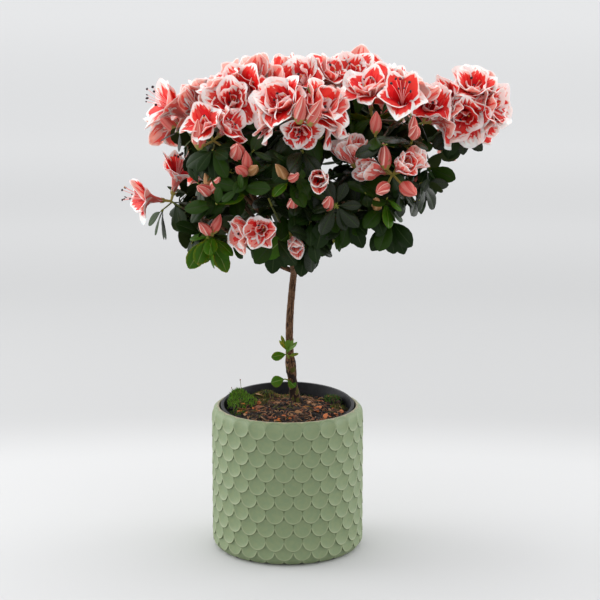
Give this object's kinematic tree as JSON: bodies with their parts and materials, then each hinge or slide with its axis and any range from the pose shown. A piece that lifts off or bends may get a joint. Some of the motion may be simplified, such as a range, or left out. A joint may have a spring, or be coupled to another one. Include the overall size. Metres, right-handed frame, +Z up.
{
  "type": "standard azalea in a cover pot",
  "caption": "Azalea trained as a small standard: one bare stem with a round head of leaves and double flowers, standing in a ceramic cover pot with a scale relief.",
  "frame": {"origin": "centre of the cover pot's flat underside", "axes": "+Z up along the stem, +X to the right and -Y towards the viewer as pictured"},
  "size_m": [0.3427, 0.2502, 0.4777],
  "materials": {
    "cover_pot": "pale sage green, matt glaze",
    "grower_pot": "matt black",
    "soil": "damp peat with moss and dry leaves",
    "bark": "rough grey-brown bark",
    "foliage": "dark green leaves with a soft gloss, and red flowers edged with white"
  },
  "bodies": {
    "root": {"basal_shoot_lower": "foliage", "basal_shoot_upper": "foliage", "bough_back_crown": "bark", "bough_back_left": "bark", "bough_back_low_left": "bark", "bough_back_low_right": "bark", "bough_back_right": "bark", "bough_far_right": "bark", "bough_front_crown": "bark", "bough_front_low": "bark", "bough_left_front": "bark", "bough_left_low": "bark", "bough_left_side": "bark", "bough_right_front": "bark", "bough_right_low": "bark", "bough_top_left": "bark", "bough_top_right": "bark", "clump_back_crown": "foliage", "clump_back_left": "foliage", "clump_back_low_left": "foliage", "clump_back_low_right": "foliage", "clump_back_right": "foliage", "clump_far_right": "foliage", "clump_front_crown": "foliage", "clump_front_low": "foliage", "clump_left_front": "foliage", "clump_left_low": "foliage", "clump_left_side": "foliage", "clump_right_front": "foliage", "clump_right_low": "foliage", "clump_top_left": "foliage", "clump_top_right": "foliage", "cover_pot": "cover_pot", "grower_pot": "grower_pot", "soil": "soil", "stem": "bark"}
  },
  "joints": []
}
